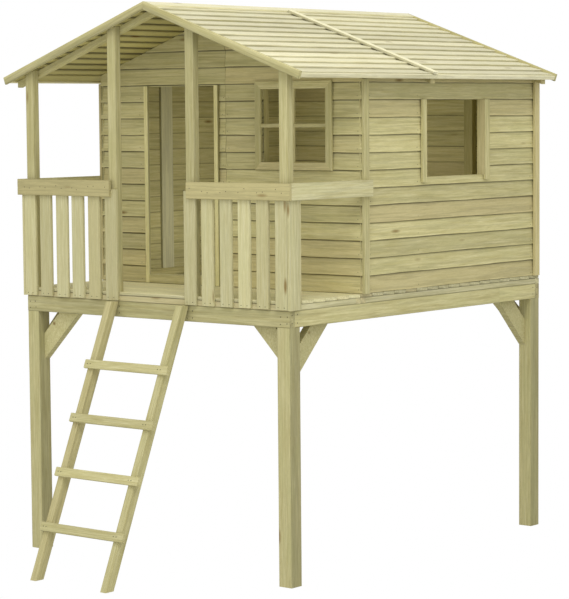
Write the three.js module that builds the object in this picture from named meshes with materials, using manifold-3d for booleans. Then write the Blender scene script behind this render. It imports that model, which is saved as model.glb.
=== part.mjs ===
// Stilt playhouse of pressure-impregnated sawn pine, in millimetres, +Z up.
// A gabled hut with a porch stands on a platform on four square posts, and a ladder leans on its front.
// While it is built, x = 0 is the middle of the front, y = 0 is the front face of the platform and
// z = 0 is the ground. At the end the whole is moved so that the middle of its box stands on the origin.
import * as THREE from 'three';
import { mergeVertices } from 'three/addons/utils/BufferGeometryUtils.js';
import Module from 'manifold-3d';

const wasm = await Module();
wasm.setup();

// Driving dimensions
const width = 2030;
const depth = 2480;
const postSize = 90;
const postHeight = 1440;
const beamThickness = 45;
const beamHeight = 92;
const frameHeight = 33;
const deckThickness = 20;
const porchDepth = 640;
const wallFront = 655;
const wallRear = 2475;
const course = 100;
const wallCourses = 12;
const boardThickness = 16;
const studSize = 45;
const trimThickness = 18;
const ridgeHeight = 3250;
const roofPitch = Math.atan(0.3616);
const eaveReach = 127;
const gap = 0.3;

// Worked out from them
const halfWidth = width / 2;
const beamTop = postHeight + beamHeight;
const deckTop = beamTop + frameHeight + deckThickness;
const wallTop = deckTop + wallCourses * course;
const cladInner = halfWidth - boardThickness;
const frontInner = wallFront + boardThickness;
const rearInner = wallRear - boardThickness;

const pine = (color, roughness = 0.8) => new THREE.MeshStandardMaterial({ color, roughness, metalness: 0 });
const looks = {
  post: pine(0xcdc698),
  beam: pine(0xbfba8a),
  deck: pine(0xc4bd90),
  rail: pine(0xd2ca9c),
  wall: pine(0xb9b07c),
  trim: pine(0xcfc795),
  roof: pine(0xe9e2bc),
  ladder: pine(0xcfc798),
};

const house = new THREE.Group();

function add(name, geometry, material) {
  const mesh = new THREE.Mesh(geometry, material);
  mesh.name = name;
  house.add(mesh);
}

function box(x0, x1, y0, y1, z0, z1) {
  const geometry = new THREE.BoxGeometry(x1 - x0, y1 - y0, z1 - z0);
  return geometry.translate((x0 + x1) / 2, (y0 + y1) / 2, (z0 + z1) / 2);
}

// A prism along y from an outline of [x, z] points.
function prismY(outline, y0, y1) {
  const shape = new THREE.Shape(outline.map(([x, z]) => new THREE.Vector2(x, z)));
  const geometry = new THREE.ExtrudeGeometry(shape, { depth: y1 - y0, bevelEnabled: false });
  return geometry.rotateX(Math.PI / 2).translate(0, y1, 0);
}

// A prism along x from an outline of [y, z] points.
function prismX(outline, x0, x1) {
  const shape = new THREE.Shape(outline.map(([y, z]) => new THREE.Vector2(y, z)));
  const geometry = new THREE.ExtrudeGeometry(shape, { depth: x1 - x0, bevelEnabled: false });
  return geometry.rotateX(Math.PI / 2).rotateZ(Math.PI / 2).translate(x0, 0, 0);
}

function toSolid(geometry) {
  const bare = geometry.clone();
  bare.deleteAttribute('normal');
  bare.deleteAttribute('uv');
  const merged = mergeVertices(bare, 1e-4);
  return new wasm.Manifold(new wasm.Mesh({
    numProp: 3,
    vertProperties: new Float32Array(merged.attributes.position.array),
    triVerts: new Uint32Array(merged.index.array),
  }));
}

function toGeometry(solid) {
  const mesh = solid.getMesh();
  const geometry = new THREE.BufferGeometry();
  geometry.setAttribute('position', new THREE.BufferAttribute(new Float32Array(mesh.vertProperties), 3));
  geometry.setIndex(new THREE.BufferAttribute(new Uint32Array(mesh.triVerts), 1));
  geometry.computeVertexNormals();
  return geometry;
}

// Joins the added shapes into one body and cuts the others out of it.
function joined(added, cut = []) {
  let solid = toSolid(added[0]);
  for (const geometry of added.slice(1)) {
    solid = solid.add(toSolid(geometry));
  }
  for (const geometry of cut) {
    solid = solid.subtract(toSolid(geometry));
  }
  return toGeometry(solid);
}

const sides = [['left', -1], ['right', 1]];

// A span of x measured from the middle, on the left (-1) or right (1) side.
function span(side, inner, outer) {
  return side > 0 ? [inner, outer] : [-outer, -inner];
}

// Four square posts stand on the ground under the corners of the platform.
function stiltPosts() {
  for (const [sideName, side] of sides) {
    for (const [endName, y0] of [['front', 0], ['rear', depth - postSize]]) {
      const [x0, x1] = span(side, halfWidth - postSize, halfWidth);
      add(`post_${endName}_${sideName}`, box(x0, x1, y0, y0 + postSize, 0, postHeight), looks.post);
    }
  }
}

// A ring of planks on edge lies on the posts: front and rear run through, the sides fit between them.
function beams() {
  add('beam_front', box(-halfWidth, halfWidth, 0, beamThickness, postHeight, beamTop), looks.beam);
  add('beam_rear', box(-halfWidth, halfWidth, depth - beamThickness, depth, postHeight, beamTop), looks.beam);
  for (const [sideName, side] of sides) {
    const [x0, x1] = span(side, halfWidth - beamThickness, halfWidth);
    add(`beam_${sideName}`, box(x0, x1, beamThickness, depth - beamThickness, postHeight, beamTop), looks.beam);
  }
}

// Height on the post at which each knee brace starts; across the front and rear, and along the sides.
const braceFeet = {
  front_left: { across: 1150, along: 1150 },
  front_right: { across: 1232, along: 1132 },
  rear_left: { across: 1200, along: 1150 },
  rear_right: { across: 1200, along: 1150 },
};

// Two knee braces at 45 degrees stiffen each corner, flush with the inner half of the post and
// reaching up behind the beams. The outline is the distance from the post and the height.
function braceOutline(foot) {
  const plumbWidth = 155;
  const top = beamTop - 1;
  return [
    [gap, foot],
    [gap, foot + plumbWidth],
    [top - foot - plumbWidth, top],
    [top - foot, top],
  ];
}

function kneeBraces() {
  const inner = halfWidth - postSize;
  for (const [sideName, side] of sides) {
    for (const [endName, start, way] of [['front', postSize, 1], ['rear', depth - postSize, -1]]) {
      const feet = braceFeet[`${endName}_${sideName}`];
      const across = braceOutline(feet.across).map(([u, z]) => [side * (inner - u), z]);
      const along = braceOutline(feet.along).map(([u, z]) => [start + way * u, z]);
      const y0 = way > 0 ? beamThickness : depth - postSize;
      const [x0, x1] = span(side, inner, halfWidth - beamThickness);
      add(`brace_${endName}_${sideName}_a`, prismY(across, y0, y0 + postSize - beamThickness), looks.post);
      add(`brace_${endName}_${sideName}_b`, prismX(along, x0, x1), looks.post);
    }
  }
}

// A floor frame: two rims along x with five joists between them.
function floorFrame(y0, y1) {
  const top = beamTop + frameHeight;
  const joists = [0, 1, 2, 3, 4].map((index) => {
    const x0 = -halfWidth + (index * (width - studSize)) / 4;
    return box(x0, x0 + studSize, y0 + 10, y1 - 10, beamTop, top);
  });
  return [
    box(-halfWidth, halfWidth, y0, y0 + studSize, beamTop, top),
    box(-halfWidth, halfWidth, y1 - studSize, y1, beamTop, top),
    ...joists,
  ];
}

// Floor boards run across the platform, with a groove at each joint.
function deckOutline(y0, y1, boards) {
  const groove = 3;
  const grooveDepth = 12;
  const bottom = beamTop + frameHeight;
  const pitch = (y1 - y0) / boards;
  const outline = [[y0, bottom], [y0, deckTop]];
  for (let index = 1; index < boards; index += 1) {
    const y = y0 + index * pitch;
    outline.push([y - groove, deckTop], [y - groove, deckTop - grooveDepth]);
    outline.push([y, deckTop - grooveDepth], [y, deckTop]);
  }
  outline.push([y1, deckTop], [y1, bottom]);
  return outline;
}

function floors() {
  add('porch_floor_frame', joined(floorFrame(0, porchDepth)), looks.beam);
  add('porch_deck', prismX(deckOutline(0, porchDepth, 6), -halfWidth, halfWidth), looks.deck);
  const deck = prismX(deckOutline(porchDepth, depth, 17), -halfWidth, halfWidth);
  add('house_floor', joined([...floorFrame(porchDepth, depth), deck]), looks.deck);
}

// Roof geometry: a point at a distance down the right-hand slope and an offset square to it.
function onRoof(distance, offset) {
  const x = distance * Math.cos(roofPitch) + offset * Math.sin(roofPitch);
  const z = ridgeHeight - distance * Math.sin(roofPitch) + offset * Math.cos(roofPitch);
  return [x, z];
}

// The same height on a plumb line at x, for a plane parallel to the roof at that offset.
function roofHeight(x, offset) {
  return ridgeHeight - Math.abs(x) * Math.tan(roofPitch) + offset / Math.cos(roofPitch);
}

const slopeLength = (halfWidth + eaveReach) / Math.cos(roofPitch);
const roofBoards = 13;
const boardLow = -8;
const boardHigh = -18;
const boardUnder = -28;
const rafterUnder = -66;

// The distance down the slope at which an offset line crosses the plumb cut at the ridge.
function ridgeStart(offset) {
  return (gap - offset * Math.sin(roofPitch)) / Math.cos(roofPitch);
}

// Lapped boards run along the roof on each slope, with rafters and an eave board under them.
// Each rafter is given by its place and by how far out it runs: to the eave board or to the wall.
function roofPanel(side, y0, y1, rafters, batten) {
  const eaveBoard = 18;
  const boardsEnd = slopeLength - eaveBoard;
  const exposure = boardsEnd / roofBoards;
  const lapped = [onRoof(ridgeStart(boardUnder), boardUnder), onRoof(ridgeStart(boardHigh), boardHigh)];
  for (let index = 1; index <= roofBoards; index += 1) {
    lapped.push(onRoof(index * exposure, boardLow));
    lapped.push(onRoof(index * exposure, index < roofBoards ? boardHigh : boardUnder));
  }
  const rafterTop = boardUnder + 2;
  const rafter = (end) => [
    onRoof(ridgeStart(rafterUnder), rafterUnder),
    onRoof(ridgeStart(rafterTop), rafterTop),
    [end, roofHeight(end, rafterTop)],
    [end, roofHeight(end, rafterUnder)],
  ];
  const eave = [
    onRoof(boardsEnd - 2, -12),
    onRoof(slopeLength, -12),
    onRoof(slopeLength, -37),
    onRoof(boardsEnd - 2, -37),
  ];
  const turn = (outline) => outline.map(([x, z]) => [side * x, z]);
  const pieces = [prismY(turn(lapped), y0, y1), prismY(turn(eave), y0, y1)];
  for (const [y, end] of rafters) {
    pieces.push(prismY(turn(rafter(end)), y, y + studSize - gap));
  }
  if (batten) {
    const strip = [onRoof(60, -12), onRoof(60, 6), onRoof(slopeLength, 6), onRoof(slopeLength, -14)];
    pieces.push(prismY(turn(strip), batten, batten + studSize));
  }
  return joined(pieces);
}

// Barge boards close both gable ends; each pair meets in a plumb joint at the ridge.
function bargeBoard(side, y0, y1) {
  const bargeUnder = -45;
  const outline = [
    onRoof(ridgeStart(bargeUnder), bargeUnder),
    onRoof(ridgeStart(0), 0),
    onRoof(slopeLength, 0),
    onRoof(slopeLength, bargeUnder),
  ];
  return prismY(outline.map(([x, z]) => [side * x, z]), y0, y1);
}

const bargeThickness = 18;
const bargeFront = -50;
const roofStart = bargeFront + bargeThickness + gap;
const roofJoint = 1226;
const noBatten = 0;

// Rafters stand behind the porch posts, behind the front wall, at both sides of the joint between
// the roof panels, half-way along the rear panel and inside the rear wall. Some end at the wall and
// some run out under the eave, as the photo shows.
function roof() {
  const tail = halfWidth + 101;
  const flush = halfWidth;
  const middleRafter = 1800;
  const lastRafter = rearInner - 110;
  const rearRafters = [[roofJoint + gap, flush], [middleRafter, flush], [lastRafter, tail]];
  for (const [sideName, side] of sides) {
    const firstRafter = [studSize + gap, side < 0 ? tail : flush];
    const frontRafters = [firstRafter, [frontInner + gap, flush], [roofJoint - studSize, tail]];
    const front = roofPanel(side, roofStart, roofJoint, frontRafters, roofJoint - studSize);
    const rear = roofPanel(side, roofJoint + gap, wallRear, rearRafters, noBatten);
    add(`roof_front_${sideName}`, front, looks.roof);
    add(`roof_rear_${sideName}`, rear, looks.roof);
    add(`barge_front_${sideName}`, bargeBoard(side, bargeFront, bargeFront + bargeThickness), looks.trim);
    const rearBarge = bargeBoard(side, wallRear + gap, wallRear + gap + bargeThickness);
    add(`barge_rear_${sideName}`, rearBarge, looks.trim);
  }
  const capWidth = 58;
  const capUnder = boardHigh + 6.5;
  const outer = onRoof(capWidth, 0);
  const inner = onRoof(capWidth, capUnder);
  const cap = [
    [0, ridgeHeight],
    outer,
    inner,
    [0, roofHeight(0, capUnder)],
    [-inner[0], inner[1]],
    [-outer[0], outer[1]],
  ];
  add('ridge_cap', prismY(cap, roofStart, wallRear), looks.roof);
}

// Four porch posts stand in front of the first rafters; their tops are cut to the slope of the roof.
function porchPosts() {
  const postWidth = 66;
  const entranceHalf = 267;
  const inset = { left: 10, right: 0 };
  for (const [sideName, side] of sides) {
    const cornerInner = halfWidth - postWidth - inset[sideName];
    for (const [place, inner] of [['corner', cornerInner], ['entrance', entranceHalf]]) {
      const outer = inner + postWidth;
      const outline = [
        [side * inner, deckTop],
        [side * outer, deckTop],
        [side * outer, roofHeight(outer, boardUnder) - gap],
        [side * inner, roofHeight(inner, boardUnder) - gap],
      ];
      add(`porch_post_${place}_${sideName}`, prismY(outline, 0, beamThickness), looks.trim);
    }
  }
}

// Where each picket starts, seen from the front; they are nailed on by eye, not evenly.
const picketWidths = { left: 93, right: 86 };
const picketStarts = {
  left: [-1015, -885, -750, -621, -487, -351],
  right: [262, 393, 530, 663, 795, 929],
};

// Six pickets under a handrail on each side of the entrance, nailed to the front of the platform.
function railings() {
  const picketTop = 2181;
  const railLow = 2137;
  const railHigh = 2232;
  const railStart = 298;
  const sideBoardWidth = 102;
  const overlap = 1;
  const faceFront = -trimThickness;
  for (const [sideName, side] of sides) {
    const pieces = [];
    for (const start of picketStarts[sideName]) {
      pieces.push(box(start, start + picketWidths[sideName], faceFront, 0, beamTop + 2, picketTop));
    }
    const [x0, x1] = span(side, railStart, halfWidth + 2 * trimThickness);
    pieces.push(box(x0, x1, faceFront - trimThickness, faceFront + overlap, railLow, railHigh));
    const cornerCut = span(side, halfWidth, halfWidth + 2 * trimThickness + 1);
    const clear = box(cornerCut[0], cornerCut[1], faceFront, faceFront + 2, railLow - 1, railHigh + 1);
    add(`railing_${sideName}`, joined(pieces, [clear]), looks.rail);
    const [b0, b1] = span(side, halfWidth, halfWidth + trimThickness);
    const [r0, r1] = span(side, halfWidth + trimThickness - overlap, halfWidth + 2 * trimThickness);
    const [t0, t1] = span(side, halfWidth - 1, halfWidth + trimThickness);
    const sideBoard = box(b0, b1, faceFront, faceFront + sideBoardWidth, beamTop + 2, picketTop);
    const sideRail = box(r0, r1, faceFront, wallFront + 60, railLow, railHigh);
    const clearTrim = box(t0, t1, wallFront - 1, wallFront + 61, railLow - 1, railHigh + 1);
    add(`side_rail_${sideName}`, joined([sideBoard, sideRail], [clearTrim]), looks.rail);
  }
}

// The outline of lapped wall boards: [outward distance, z], flat inside, each board thick at its foot.
// The last board may be cut off at a lower top.
function lapOutline(courses, place, top = deckTop + courses * course) {
  const upper = 7;
  const outline = [[place(0), deckTop]];
  for (let index = 0; index < courses; index += 1) {
    const z = deckTop + index * course;
    const part = Math.min(1, (top - z) / course);
    const thickness = boardThickness - (boardThickness - upper) * part;
    outline.push([place(boardThickness), z], [place(thickness), z + part * course]);
  }
  outline.push([place(0), top]);
  return outline;
}

const plateTop = wallTop + 25;
const topPlate = 20;
const buried = 1;

// A frame of uprights at the given places, between a bottom and a top plate, along x or along y.
function wallFrame(make, from, to, uprights) {
  const pieces = [
    make(from, to, deckTop, deckTop + studSize),
    make(from, to, plateTop - topPlate, plateTop),
  ];
  for (const [start, size] of uprights) {
    pieces.push(make(start, start + size, deckTop + 5, plateTop - 5));
  }
  return pieces;
}

// Everything above the underside of the roof boards, which trims the gables.
function aboveRoof(y0, y1) {
  const reach = halfWidth + 200;
  const lid = ridgeHeight + 100;
  const under = boardUnder - gap;
  const outline = [
    [-reach, lid],
    [-reach, roofHeight(reach, under)],
    [0, roofHeight(0, under)],
    [reach, roofHeight(reach, under)],
    [reach, lid],
  ];
  return prismY(outline, y0, y1);
}

// The door linings cover the cut ends of the wall boards, and the left stud stands back from them.
const door = { left: -609, right: -77, top: 2780, sill: 1637, lining: 31, cover: 20, studBack: 75 };
const frontWindow = { left: 241, right: 810, low: 2283, high: 2797, board: 45 };
const sideWindow = { front: 1266, rear: 1866, low: 2232, high: deckTop + 11 * course };
const panelJoint = 1;

function frontWall() {
  const gableCourses = 17;
  const place = (out) => frontInner - out;
  const make = (x0, x1, z0, z1) => box(x0, x1, frontInner - buried, frontInner + studSize, z0, z1);
  const lid = aboveRoof(wallFront - 10, frontInner + 10);
  const doorEdges = [door.left - door.cover, door.right + door.cover];
  const doorway = box(...doorEdges, wallFront - 10, frontInner + 60, deckTop - 1, door.top);
  const leftFrame = wallFrame(make, -cladInner, panelJoint, [
    [-cladInner, studSize],
    [door.left - door.studBack - studSize, studSize],
    [panelJoint - studSize, studSize],
  ]);
  const leftClad = prismX(lapOutline(gableCourses, place), -halfWidth, panelJoint);
  add('front_wall_door', joined([leftClad, ...leftFrame], [doorway, lid]), looks.wall);

  const { left, right, low, high, board } = frontWindow;
  const opening = box(left + board, right - board, wallFront - 10, frontInner + 60, low + board, high - board);
  const rightFrame = wallFrame(make, panelJoint, cladInner, [
    [panelJoint, studSize],
    [left, board],
    [right - board, board],
    [cladInner - studSize, studSize],
  ]);
  rightFrame.push(make(left, right, low, low + board));
  rightFrame.push(make(left, right, high - board, high));
  const rightClad = prismX(lapOutline(gableCourses, place), panelJoint, halfWidth);
  add('front_wall_window', joined([rightClad, ...rightFrame], [opening, lid]), looks.wall);
}

// The left wall has a flat board inside over a joint in its boards; the right one has the side window.
const jointBoard = { front: 1173, rear: 1280 };
const leftStud = 1800;

function sideWalls() {
  for (const [sideName, side] of sides) {
    const place = (out) => side * (cladInner + out);
    const [x0, x1] = span(side, cladInner - studSize, cladInner + buried);
    const make = (y0, y1, z0, z1) => box(x0, x1, y0, y1, z0, z1);
    const from = frontInner + studSize;
    const to = rearInner - studSize;
    const frame = wallFrame(make, from, to, [[from, studSize], [to - studSize, studSize]]);
    const cut = [];
    if (side > 0) {
      const { front, rear, low, high } = sideWindow;
      frame.push(make(front - studSize, front, deckTop + 5, plateTop - 5));
      frame.push(make(rear, rear + studSize, deckTop + 5, plateTop - 5));
      frame.push(make(front, rear, low - studSize, low + 1));
      frame.push(make(front, rear, high - 1, high + studSize));
      cut.push(box(x0 - 10, halfWidth + 10, front, rear, low, high));
    } else {
      const [low, high] = [deckTop + studSize - 1, plateTop - topPlate + 1];
      const [back, face] = [-cladInner - buried, -cladInner + boardThickness];
      frame.push(make(leftStud, leftStud + studSize, deckTop + 5, plateTop - 5));
      frame.push(box(back, face, jointBoard.front, jointBoard.rear, low, high));
    }
    const cladding = prismY(lapOutline(wallCourses + 1, place, plateTop), frontInner, rearInner);
    add(`${sideName}_wall`, joined([cladding, ...frame], cut), looks.wall);
  }
}

function rearWall() {
  const gableCourses = 17;
  const place = (out) => rearInner + out;
  const make = (x0, x1, z0, z1) => box(x0, x1, rearInner - studSize, rearInner + buried, z0, z1);
  const frame = wallFrame(make, -cladInner, cladInner, [
    [-cladInner, studSize],
    [-studSize / 2, studSize],
    [cladInner - studSize, studSize],
  ]);
  const cladding = prismX(lapOutline(gableCourses, place), -halfWidth, halfWidth);
  const lid = aboveRoof(rearInner - 10, wallRear + 10);
  add('rear_wall', joined([cladding, ...frame], [lid]), looks.wall);
}

// Upright boards cover the corners of the hut and line the doorway and the side window.
function trims() {
  const trimTop = 2800;
  const frontWidth = 50;
  const rearWidth = 65;
  for (const [sideName, side] of sides) {
    const [x0, x1] = span(side, halfWidth, halfWidth + trimThickness);
    const front = box(x0, x1, wallFront, wallFront + frontWidth, deckTop, trimTop);
    const rear = box(x0, x1, wallRear - rearWidth, wallRear, deckTop, trimTop);
    add(`corner_front_${sideName}`, front, looks.trim);
    add(`corner_rear_${sideName}`, rear, looks.trim);
  }
  const jambFace = wallFront - boardThickness;
  const lining = (x0, x1) => box(x0, x1, jambFace, wallFront, deckTop, door.top);
  add('door_jamb_left', lining(door.left - door.lining, door.left), looks.trim);
  add('door_jamb_right', lining(door.right, door.right + door.lining), looks.trim);
  const sill = box(door.left, door.right, jambFace, frontInner + studSize, deckTop, door.sill);
  add('door_threshold', sill, looks.deck);
  const windowTrim = 50;
  const trimBelow = 30;
  const outer = halfWidth + boardThickness;
  const { front, rear, low, high } = sideWindow;
  const foot = low - trimBelow;
  add('side_window_trim_front', box(halfWidth, outer, front - windowTrim, front, foot, high), looks.trim);
  add('side_window_trim_rear', box(halfWidth, outer, rear, rear + windowTrim, foot, high), looks.trim);
}

// A square window frame with a cross of glazing bars, nailed on the face of the front wall.
function windowFrame() {
  const { left, right, low, high, board } = frontWindow;
  const bar = 22;
  const back = wallFront;
  const face = wallFront - boardThickness;
  const middleX = (left + right) / 2;
  const middleZ = (low + high) / 2;
  const blank = box(left, right, face, back, low, high);
  const opening = box(left + board, right - board, face - 5, back + 5, low + board, high - board);
  const upright = box(middleX - bar / 2, middleX + bar / 2, face + 4, back, low + 10, high - 10);
  const across = box(left + 10, right - 10, face + 4, back, middleZ - bar / 2, middleZ + bar / 2);
  const frame = toSolid(blank).subtract(toSolid(opening)).add(toSolid(upright)).add(toSolid(across));
  add('front_window_frame', toGeometry(frame), looks.trim);
}

const ladderReach = 712;

// A ladder leans on the front beam: two rails cut level at both ends, with four rungs on their faces.
function ladder() {
  const railWidth = 45;
  const top = beamTop;
  const levelDepth = 65;
  const lean = Math.atan((ladderReach - levelDepth) / top);
  const rail = [
    [-ladderReach, 0],
    [levelDepth - ladderReach, 0],
    [-gap, top],
    [-levelDepth - gap, top],
  ];
  const railLeft = -308;
  const railRight = 236;
  add('ladder_rail_left', prismX(rail, railLeft, railLeft + railWidth), looks.ladder);
  add('ladder_rail_right', prismX(rail, railRight, railRight + railWidth), looks.ladder);
  const rungHeight = 52;
  const rungThickness = 22;
  const rungPitch = 297;
  const lowestRung = 287;
  const rungHalf = 320;
  const along = [Math.sin(lean), Math.cos(lean)];
  const outward = [-Math.cos(lean), Math.sin(lean)];
  for (let index = 0; index < 4; index += 1) {
    const z = lowestRung + index * rungPitch;
    const y = -ladderReach - gap + z * Math.tan(lean);
    const corner = (a, b) => [y + a * along[0] + b * outward[0], z + a * along[1] + b * outward[1]];
    const outline = [
      corner(-rungHeight / 2, gap),
      corner(-rungHeight / 2, rungThickness + gap),
      corner(rungHeight / 2, rungThickness + gap),
      corner(rungHeight / 2, gap),
    ];
    const rung = prismX(outline, -rungHalf, rungHalf);
    add(`ladder_rung_${index + 1}`, rung, looks.ladder);
  }
}

stiltPosts();
beams();
kneeBraces();
floors();
porchPosts();
railings();
frontWall();
sideWalls();
rearWall();
trims();
windowFrame();
roof();
ladder();

const rearEdge = wallRear + gap + bargeThickness;
house.position.y = (ladderReach - rearEdge) / 2;
const playhouse = new THREE.Group();
playhouse.add(house);

export default playhouse;
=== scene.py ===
import math
import random

import bmesh
import bpy
from mathutils import Matrix, Vector


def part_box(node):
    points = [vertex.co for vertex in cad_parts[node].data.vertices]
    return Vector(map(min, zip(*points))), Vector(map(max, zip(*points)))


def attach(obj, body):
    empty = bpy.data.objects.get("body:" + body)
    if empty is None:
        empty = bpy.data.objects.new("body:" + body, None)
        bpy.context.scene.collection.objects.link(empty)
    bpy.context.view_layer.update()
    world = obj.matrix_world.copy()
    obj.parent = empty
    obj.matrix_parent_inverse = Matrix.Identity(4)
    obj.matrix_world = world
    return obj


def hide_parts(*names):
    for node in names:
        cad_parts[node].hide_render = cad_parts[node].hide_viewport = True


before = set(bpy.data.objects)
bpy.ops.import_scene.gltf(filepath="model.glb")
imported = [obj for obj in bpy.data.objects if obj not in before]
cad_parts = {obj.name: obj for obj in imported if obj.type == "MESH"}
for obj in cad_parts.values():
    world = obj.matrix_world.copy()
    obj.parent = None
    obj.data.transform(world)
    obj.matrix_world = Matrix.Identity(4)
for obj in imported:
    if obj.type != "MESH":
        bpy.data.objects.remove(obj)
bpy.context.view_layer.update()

# The stilts: four square posts of sawn pine, 90 mm thick, that stand on the ground and carry the platform.
# Their edges are a little rounded. Both side faces and the edges beside them are painted darker: painted
# shade.
# Depths in this file are measured back from the front face of the platform.
POST_SIZE = 0.09
SAWN_EDGE = 0.004
POST_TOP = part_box("post_front_left")[1][2]
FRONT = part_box("beam_front")[0][1]
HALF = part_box("beam_front")[1][0]
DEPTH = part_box("beam_rear")[1][1] - FRONT
ENDS = ("front", "rear")
SIDES = (("left", -1), ("right", 1))
X, Y, Z = (1, 0, 0), (0, 1, 0), (0, 0, 1)
ORIGIN = (0, 0, 0)
chance = random.Random(11)


def span(side, inner, outer):
    return (inner, outer) if side > 0 else (-outer, -inner)


# Each board comes from a place of its own in the log, so that no two show the same grain.
def new_log():
    return tuple(chance.uniform(0.0, 40.0) for _ in range(3))


# Rounds the corners of an outline with a short curve of three points each.
def eased(outline, radius):
    rounded = []
    for index, corner in enumerate(outline):
        here = Vector(corner)
        before = Vector(outline[index - 1]) - here
        after = Vector(outline[(index + 1) % len(outline)]) - here
        reach = min(radius, before.length * 0.4, after.length * 0.4)
        first = here + before.normalized() * reach
        last = here + after.normalized() * reach
        middle = here * 0.5 + first * 0.25 + last * 0.25
        rounded += [tuple(first), tuple(middle), tuple(last)]
    return rounded


def rectangle(a, b, radius):
    return eased([(a[0], b[0]), (a[1], b[0]), (a[1], b[1]), (a[0], b[1])], radius)


# Boards of one kind that are nailed up together. The outline of a board's sawn end is extruded along the
# grain. Each point carries where it lies in its log, a tone, and how much heartwood the board has. The tone
# is the board's own tone less a darkening set for chosen corners. That darkening paints shade at laps,
# joints and edges, and where it is negative it paints a highlight.
class Boards:
    def __init__(self, name):
        self.name = name
        self.wood = bmesh.new()
        self.wood.verts.layers.float_vector.new("grain")
        self.wood.verts.layers.float.new("tone")
        self.wood.verts.layers.float.new("kind")

    def saw(
        self, outline, origin, across, up, along, start, end, steps=1, wave=None, log=None, tone=None,
        kind=None, dark=None, kinds=None, start_cut=(0.0, 0.0), end_cut=(0.0, 0.0),
    ):
        random_tone = chance.uniform(0.0, 1.0)
        tone = random_tone if tone is None else tone
        log = log or new_log()
        kind = (log[0] * 7.31) % 1.0 if kind is None else kind
        dark, point_kinds = dark or {}, kinds or {}
        origin = Vector((origin[0], origin[1] + FRONT, origin[2]))
        across, up, along = Vector(across), Vector(up), Vector(along)
        layers = self.wood.verts.layers
        in_log, its_tone, its_kind = layers.float_vector["grain"], layers.float["tone"], layers.float["kind"]

        def lay(ring, share):
            for index, (point, (a, b)) in enumerate(zip(ring, outline)):
                low = start + start_cut[0] * a + start_cut[1] * b
                high = end + end_cut[0] * a + end_cut[1] * b
                t = low + (high - low) * share
                if wave:
                    da, db = wave(index, t)
                    a, b = a + da, b + db
                point.co = origin + across * a + up * b + along * t
                point[in_log] = (t + log[0], a + log[1], b + log[2])
                point[its_tone] = tone - dark.get(index, 0.0)
                point[its_kind] = point_kinds.get(index, kind)

        ring = [self.wood.verts.new() for _ in outline]
        lay(ring, 0.0)
        sawn_end = self.wood.faces.new(ring)
        for step in range(1, steps + 1):
            drawn = bmesh.ops.extrude_face_region(self.wood, geom=[sawn_end])["geom"]
            if step > 1:
                bmesh.ops.delete(self.wood, geom=[sawn_end], context="FACES_ONLY")
            sawn_end = next(item for item in drawn if isinstance(item, bmesh.types.BMFace))
            fresh = {item for item in drawn if isinstance(item, bmesh.types.BMVert)}
            reached = [[edge.other_vert(point) for edge in point.link_edges] for point in ring]
            ring = [next(other for other in others if other in fresh) for others in reached]
            lay(ring, step / steps)

    def plank(self, x, y, z, grain, radius=0.003, edge_shade=0.5, **how):
        # Unless told otherwise, a plank's four arrises are darkened: painted shade along its edges and in
        # the joints where boards meet.
        how.setdefault("dark", {corner: edge_shade for corner in (1, 4, 7, 10)})
        if grain == "x":
            self.saw(rectangle(y, z, radius), ORIGIN, Y, Z, X, *x, **how)
        elif grain == "y":
            self.saw(rectangle(x, z, radius), ORIGIN, X, Z, Y, *y, **how)
        else:
            self.saw(rectangle(x, y, radius), ORIGIN, X, Y, Z, *z, **how)

    def nail_up(self, material, slot, *nodes):
        bmesh.ops.recalc_face_normals(self.wood, faces=self.wood.faces)
        mesh = bpy.data.meshes.new(self.name)
        self.wood.to_mesh(mesh)
        self.wood.free()
        mesh.materials.append(material)
        piece = bpy.data.objects.new(self.name, mesh)
        bpy.context.scene.collection.objects.link(piece)
        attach(piece, "root")
        if nodes:
            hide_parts(*nodes)


def colour(text):
    channels = [int(text[i : i + 2], 16) / 255 for i in (0, 2, 4)]
    linear = [c / 12.92 if c <= 0.04045 else ((c + 0.055) / 1.055) ** 2.4 for c in channels]
    return (*linear, 1.0)


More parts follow.
